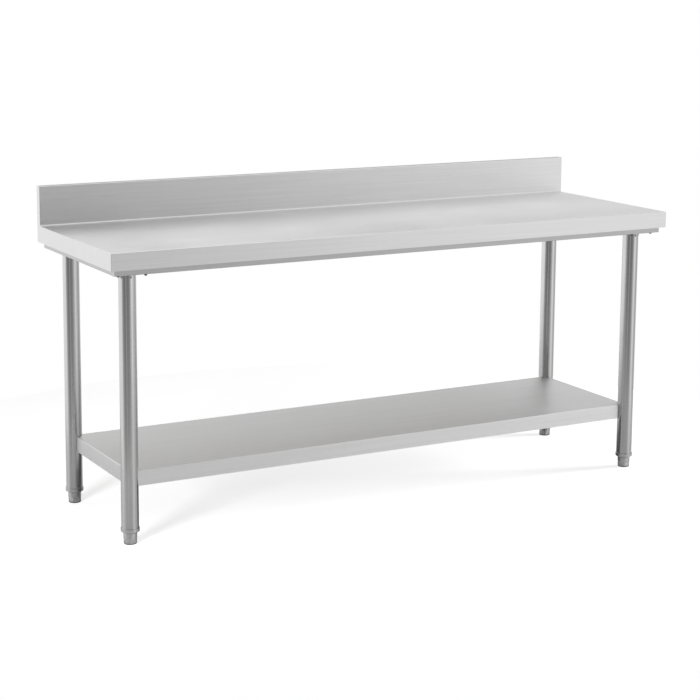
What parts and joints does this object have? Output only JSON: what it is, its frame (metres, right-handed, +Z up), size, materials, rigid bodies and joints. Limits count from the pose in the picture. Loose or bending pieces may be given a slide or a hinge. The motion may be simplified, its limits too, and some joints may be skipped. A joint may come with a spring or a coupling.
{
  "type": "stainless work table",
  "caption": "Long stainless work table with a boxed rear upstand, round tube legs on screw feet and a height-adjustable solid undershelf.",
  "frame": {"origin": "on the floor, under the middle of the worktop's outline", "axes": "+X along the table, to the right seen from the front; +Y from the front to the upstand; +Z up"},
  "size_m": [1.9, 0.6, 0.97],
  "materials": {
    "sheet_steel": "brushed along the table, 1.2 mm sheet",
    "tube_steel": "polished tube, drawn lengthwise",
    "frame_steel": "dull folded sheet",
    "foot_metal": "cast and turned, slightly mottled",
    "fastener_steel": "bright zinc-plated",
    "glide_plastic": "moulded, matte",
    "core": "particle board"
  },
  "bodies": {
    "table_frame": {"worktop_sheet": "sheet_steel", "upstand_end_cap_left": "sheet_steel", "upstand_end_cap_right": "sheet_steel", "core_board": "core", "frame_rail_front": "frame_steel", "frame_rail_back": "frame_steel", "frame_rail_left": "frame_steel", "frame_rail_right": "frame_steel", "cross_channel_left": "frame_steel", "cross_channel_centre": "frame_steel", "cross_channel_right": "frame_steel", "socket_bolts": "fastener_steel", "socket_washers": "fastener_steel", "socket_nuts": "fastener_steel", "leg_grub_screws": "fastener_steel", "leg_socket_front_left": "frame_steel", "leg_tube_front_left": "tube_steel", "foot_collar_front_left": "foot_metal", "leg_socket_front_right": "frame_steel", "leg_tube_front_right": "tube_steel", "foot_collar_front_right": "foot_metal", "leg_socket_back_left": "frame_steel", "leg_tube_back_left": "tube_steel", "foot_collar_back_left": "foot_metal", "leg_socket_back_right": "frame_steel", "leg_tube_back_right": "tube_steel", "foot_collar_back_right": "foot_metal"},
    "undershelf": {"shelf_panel": "sheet_steel", "shelf_stiffener_front": "frame_steel", "shelf_stiffener_back": "frame_steel", "shelf_clamp_screws": "fastener_steel", "shelf_clamp_nuts": "fastener_steel", "shelf_bracket_front_left": "frame_steel", "shelf_bracket_front_right": "frame_steel", "shelf_bracket_back_left": "frame_steel", "shelf_bracket_back_right": "frame_steel"},
    "glide_front_left": {"foot_pad_front_left": "glide_plastic"},
    "foot_front_left": {"foot_barrel_front_left": "foot_metal"},
    "glide_front_right": {"foot_pad_front_right": "glide_plastic"},
    "foot_front_right": {"foot_barrel_front_right": "foot_metal"},
    "glide_back_left": {"foot_pad_back_left": "glide_plastic"},
    "foot_back_left": {"foot_barrel_back_left": "foot_metal"},
    "glide_back_right": {"foot_pad_back_right": "glide_plastic"},
    "foot_back_right": {"foot_barrel_back_right": "foot_metal"}
  },
  "joints": [
    {"name": "undershelf_height", "type": "slide", "parent": "table_frame", "child": "undershelf", "axis": [0, 0, 1], "range_m": [-0.1, 0.4]},
    {"name": "foot_front_left_rise", "type": "slide", "parent": "table_frame", "child": "glide_front_left", "axis": [0, 0, 1], "range_m": [-0.025, 0.015]},
    {"name": "foot_front_left_turn", "type": "hinge", "parent": "glide_front_left", "child": "foot_front_left", "pos_m": [-0.872, -0.221, 0.003], "axis": [0, 0, 1], "range_deg": [-4500, 2700]},
    {"name": "foot_front_right_rise", "type": "slide", "parent": "table_frame", "child": "glide_front_right", "axis": [0, 0, 1], "range_m": [-0.025, 0.015]},
    {"name": "foot_front_right_turn", "type": "hinge", "parent": "glide_front_right", "child": "foot_front_right", "pos_m": [0.872, -0.221, 0.003], "axis": [0, 0, 1], "range_deg": [-4500, 2700]},
    {"name": "foot_back_left_rise", "type": "slide", "parent": "table_frame", "child": "glide_back_left", "axis": [0, 0, 1], "range_m": [-0.025, 0.015]},
    {"name": "foot_back_left_turn", "type": "hinge", "parent": "glide_back_left", "child": "foot_back_left", "pos_m": [-0.872, 0.228, 0.003], "axis": [0, 0, 1], "range_deg": [-4500, 2700]},
    {"name": "foot_back_right_rise", "type": "slide", "parent": "table_frame", "child": "glide_back_right", "axis": [0, 0, 1], "range_m": [-0.025, 0.015]},
    {"name": "foot_back_right_turn", "type": "hinge", "parent": "glide_back_right", "child": "foot_back_right", "pos_m": [0.872, 0.228, 0.003], "axis": [0, 0, 1], "range_deg": [-4500, 2700]}
  ],
  "couplings": [
    {"joint": "foot_front_left_turn", "follows": "foot_front_left_rise", "rad_per_m": 3141.6},
    {"joint": "foot_front_right_turn", "follows": "foot_front_right_rise", "rad_per_m": 3141.6},
    {"joint": "foot_back_left_turn", "follows": "foot_back_left_rise", "rad_per_m": 3141.6},
    {"joint": "foot_back_right_turn", "follows": "foot_back_right_rise", "rad_per_m": 3141.6}
  ]
}
